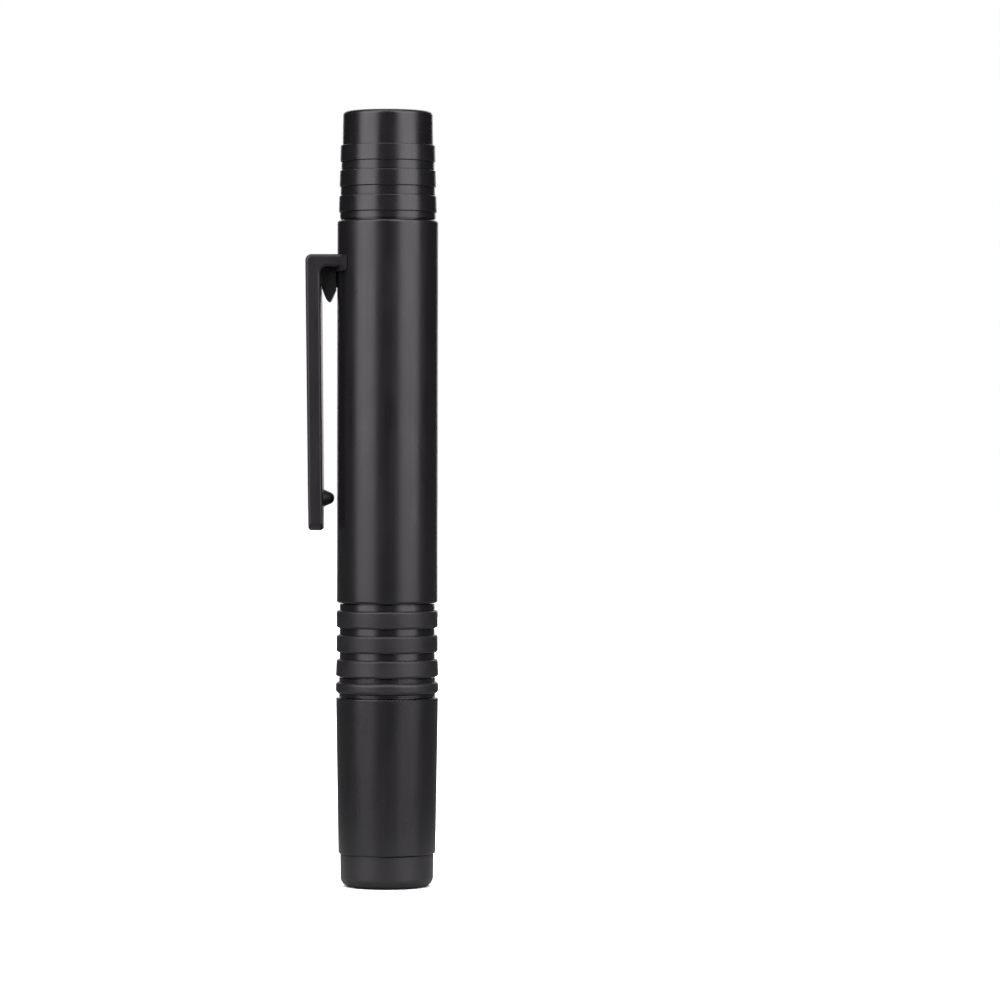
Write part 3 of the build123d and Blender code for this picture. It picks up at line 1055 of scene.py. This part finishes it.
@dataclass
class SoftDisc:
    """A soft turned disc, dished and a little uneven.

    Attributes:
        name: the piece's name.
        node: the CAD node that it stands for.
        body: the body that it rides on.
        slot: the record's slot for this piece; not used.
        finish: its finish.
        fill: how tightly it is stuffed, from 0 to 1; not used.
        face_down: True if its working face looks down.
        hollow: how far the face is dished, in metres.
        edge: the rounding of its rim, in metres.
        nap: how far single points stand out of the surface, in metres.
        seed: the seed of the nap's random draws.
        segments: the steps round the disc.
        face_rings: the rings of points across the face.
        edge_steps: the steps round its rim's rounding.
    """

    name: str
    node: str
    body: Body
    slot: Slot
    finish: NappedChamois | PressedFelt
    fill: float
    face_down: bool
    hollow: float = 0.0
    edge: float = 0.35 * MM
    nap: float = 0.03 * MM
    seed: int = 3
    segments: int = 160
    face_rings: int = 40
    edge_steps: int = 6

    def build(self) -> bpy.types.Object:
        """Make the disc and let it stand for its CAD solid.

        Returns:
            The disc.
        """
        low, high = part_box(self.node)
        radius = (high.x - low.x) / 2 - self.nap
        bottom, top = low.z + self.nap, high.z
        face, back, inward = (bottom, top, 1) if self.face_down else (top, bottom, -1)
        mesh = turned_mesh(self._outline(radius, face, back, inward), self.segments)
        dice = random.Random(self.seed)
        mesh.normal_update()
        for vertex in mesh.verts:
            if abs(vertex.co.z - back) > 1e-6:
                vertex.co += vertex.normal * self.nap * (dice.random() - 0.5) * 2
        piece = new_piece(self.name, mesh)
        piece.data.shade_smooth()
        dress(piece, self.finish)
        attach(piece, self.body.value)
        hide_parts(self.node)
        return piece

    def _outline(
        self, radius: float, face: float, back: float, inward: int
    ) -> list[tuple[float, float]]:
        """Draw half of the disc's section.

        Args:
            radius: the disc's radius.
            face: the height of its working face.
            back: the height of its glued back.
            inward: 1 if the back is above the face, or else -1.

        Returns:
            (radius, height) points from the middle of the back to the middle of the face.
        """
        outline = [(0.0, back), (radius * 0.5, back), (radius, back)]
        for step in range(self.edge_steps + 1):
            angle = math.pi / 2 * step / self.edge_steps
            across = radius - self.edge * (1 - math.cos(angle))
            outline.append((across, face + inward * self.edge * (1 - math.sin(angle))))
        flat = radius - self.edge
        for ring in range(1, self.face_rings):
            share = 1 - ring / self.face_rings
            outline.append((flat * share, face + inward * self.hollow * (1 - share**2)))
        outline.append((0.0, face + inward * self.hollow))
        return outline


@dataclass
class CleaningTip:
    """The holder under the collar, its soft neck, and the disc with the chamois pad.

    Attributes:
        pad: the pad on the disc's underside.
    """

    pad: SoftDisc

    def build(self) -> list[bpy.types.Object]:
        """Dress the tip's parts and lay its pad.

        Returns:
            The dressed nodes and the pad.
        """
        rigid = dress_nodes(
            {
                "tip_holder": COLLAR_ABS,
                "spigot_ring": NITRILE,
                "tip_neck": NITRILE,
                "tip_disc": ACETAL,
            }
        )
        return [*rigid, self.pad.build()]


@dataclass
class Cap:
    """The pull-off cap, the plug that closes its end, and the cup of charged felt inside.

    Attributes:
        felt: the felt in the cup.
    """

    felt: SoftDisc

    def build(self) -> list[bpy.types.Object]:
        """Dress the cap's parts and lay its felt.

        Returns:
            The dressed nodes and the felt.
        """
        rigid = dress_nodes({"cap_shell": CAP_ABS, "cap_end_plug": PLUG_ABS, "felt_cup": ACETAL})
        return [*rigid, self.felt.build()]


# ------------------------------------------------------------------ studio


@dataclass(frozen=True)
class Softbox:
    """One large soft light that faces the pen.

    Attributes:
        name: the light's name.
        bearing: its angle round the pen from the camera, in degrees, positive to the right.
        distance: how far it stands from the pen, in metres.
        width: its width in metres.
        height: its height in metres.
        centre: the height of its middle in metres.
        power: its power in watts.
        aim: the height on the pen that it faces, in metres.
    """

    name: str
    bearing: float
    distance: float
    width: float
    height: float
    centre: float
    power: float
    aim: float = 0.06

    def build(self, colour: tuple[float, float, float]) -> bpy.types.Object:
        """Hang the light.

        Args:
            colour: the light's linear colour.

        Returns:
            The light.
        """
        data = bpy.data.lights.new(self.name, "AREA")
        data.color = colour
        data.shape = "RECTANGLE"
        data.size = self.width
        data.size_y = self.height
        data.energy = self.power
        lamp = bpy.data.objects.new(self.name, data)
        bpy.context.scene.collection.objects.link(lamp)
        angle = math.radians(self.bearing)
        stand = Vector((math.sin(angle), -math.cos(angle), 0)) * self.distance
        lamp.location = stand + Vector((0, 0, self.centre))
        facing = Vector((0, 0, self.aim)) - lamp.location
        lamp.rotation_mode = "QUATERNION"
        lamp.rotation_quaternion = facing.to_track_quat("-Z", "Y")
        lamp.visible_camera = False
        return lamp


SOFTBOXES = (
    Softbox("softbox_left", -50, 0.62, 0.69, 0.9, 0.41, 4.5),
    Softbox("softbox_right", 52, 0.62, 0.72, 0.9, 0.41, 4.5),
    Softbox("softbox_left_core", -50, 0.61, 0.5, 0.4, 0.36, 0.9),
    Softbox("softbox_right_core", 52, 0.61, 0.5, 0.4, 0.36, 0.9),
    Softbox("softbox_left_foot", -50, 0.6, 0.5, 0.12, 0.065, 0.15),
    Softbox("softbox_right_foot", 52, 0.6, 0.5, 0.12, 0.065, 0.15),
    Softbox("softbox_back", 180, 0.8, 0.7, 0.9, 0.4, 4.0),
    Softbox("softbox_top", 0, 0.3, 0.8, 0.8, 0.9, 2.8),
)


@dataclass
class Studio:
    """A white sweep of paper in a dim room, large soft lights, and the camera.

    Sizes are in metres and angles in degrees.
    """

    floor_side: float = 6.0
    light_colour: str = "#fffaff"
    room_light: float = 0.02
    background_light: float = 1.0
    ceiling_strength: float = 4.6
    ceiling_spread: float = 90.0
    camera_side: float = 0.01783
    camera_distance: float = 0.7073
    camera_height: float = 0.0740
    camera_tilt: float = 1.0276
    camera_roll: float = -0.117
    lens_mm: float = 160.6
    sensor_mm: float = 36.0

    def build(self) -> list[bpy.types.Object]:
        """Set up the floor, the room, the lights and the camera.

        Returns:
            The floor, the lights and the camera.
        """
        self._light_room()
        colour = linear(self.light_colour)[:3]
        lamps = [softbox.build(colour) for softbox in SOFTBOXES]
        bpy.context.scene.view_settings.view_transform = "Standard"
        return [self._lay_floor(), self._hang_ceiling(), *lamps, self._place_camera()]

    def _lay_floor(self) -> bpy.types.Object:
        """Lay the plain white floor. It stays under the cap, which the pen stands on.

        Returns:
            The floor.
        """
        mesh = bmesh.new()
        bmesh.ops.create_grid(mesh, x_segments=8, y_segments=8, size=self.floor_side / 2)
        floor = dress(new_piece("studio_floor", mesh), MattPaper())
        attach(floor, Body.CAP.value)
        return floor

    def _light_room(self) -> None:
        """Light the room: white where the camera looks, dim for everything else."""
        world = bpy.data.worlds.new("studio_room")
        bpy.context.scene.world = world
        world.use_nodes = True
        tree = world.node_tree
        tree.nodes.clear()
        path = add_node(tree, "LightPath")
        level = add_node(
            tree,
            "MapRange",
            {"To Min": self.room_light, "To Max": self.background_light},
            {"Value": path.outputs["Is Camera Ray"]},
        )
        room = add_node(
            tree, "Background", {"Color": linear("#ffffff")}, {"Strength": level.outputs["Result"]}
        )
        add_node(tree, "OutputWorld", links={"Surface": room.outputs["Background"]})

    def _hang_ceiling(self) -> bpy.types.Object:
        """Hang the wide light overhead that whitens the paper but leaves no glint on the pen.

        Returns:
            The light.
        """
        data = bpy.data.lights.new("ceiling_light", "SUN")
        data.energy = self.ceiling_strength
        data.angle = math.radians(self.ceiling_spread)
        lamp = bpy.data.objects.new("ceiling_light", data)
        bpy.context.scene.collection.objects.link(lamp)
        lamp.location = (0, 0, 1)
        lamp.visible_glossy = False
        return lamp

    def _place_camera(self) -> bpy.types.Object:
        """Place the camera in front of the pen, a little to its right and near its middle.

        Returns:
            The camera.
        """
        data = bpy.data.cameras.new("camera")
        data.lens = self.lens_mm
        data.sensor_width = self.sensor_mm
        data.clip_end = 20
        camera = bpy.data.objects.new("camera", data)
        bpy.context.scene.collection.objects.link(camera)
        camera.location = (self.camera_side, -self.camera_distance, self.camera_height)
        pitch = math.radians(90 - self.camera_tilt)
        camera.rotation_euler = (pitch, math.radians(self.camera_roll), 0)
        bpy.context.scene.camera = camera
        return camera


# ------------------------------------------------------------------ the pen


def pen_sub_assemblies() -> tuple[Handle | GripCollar | BrushSlide | CleaningTip | Cap, ...]:
    """List the pen's sub-assemblies, from the handle out to both ends.

    Returns:
        The sub-assemblies in the order that they are built.
    """
    pad = SoftDisc(
        "chamois_pad",
        "cleaning_pad",
        Body.BARREL,
        Slot.CHAMOIS,
        NappedChamois(),
        fill=0.8,
        face_down=True,
        hollow=0.2 * MM,
    )
    felt = SoftDisc(
        "felt_disc",
        "compound_felt",
        Body.CAP,
        Slot.FELT,
        PressedFelt(),
        fill=0.7,
        face_down=False,
        edge=0.2 * MM,
        nap=0.05 * MM,
    )
    return Handle(), GripCollar(), BrushSlide(HairTuft()), CleaningTip(pad), Cap(felt)


def main() -> None:
    """Build the studio and every sub-assembly in order, and report each piece."""
    logging.basicConfig(level=logging.INFO, format="%(name)s: %(message)s")
    for item in Studio().build():
        LOG.info("studio: %s", item.name)
    for assembly in pen_sub_assemblies():
        for piece in assembly.build():
            faces = len(piece.data.polygons)
            LOG.info("%s: %s, %d faces", type(assembly).__name__, piece.name, faces)


if __name__ == "__main__":
    main()
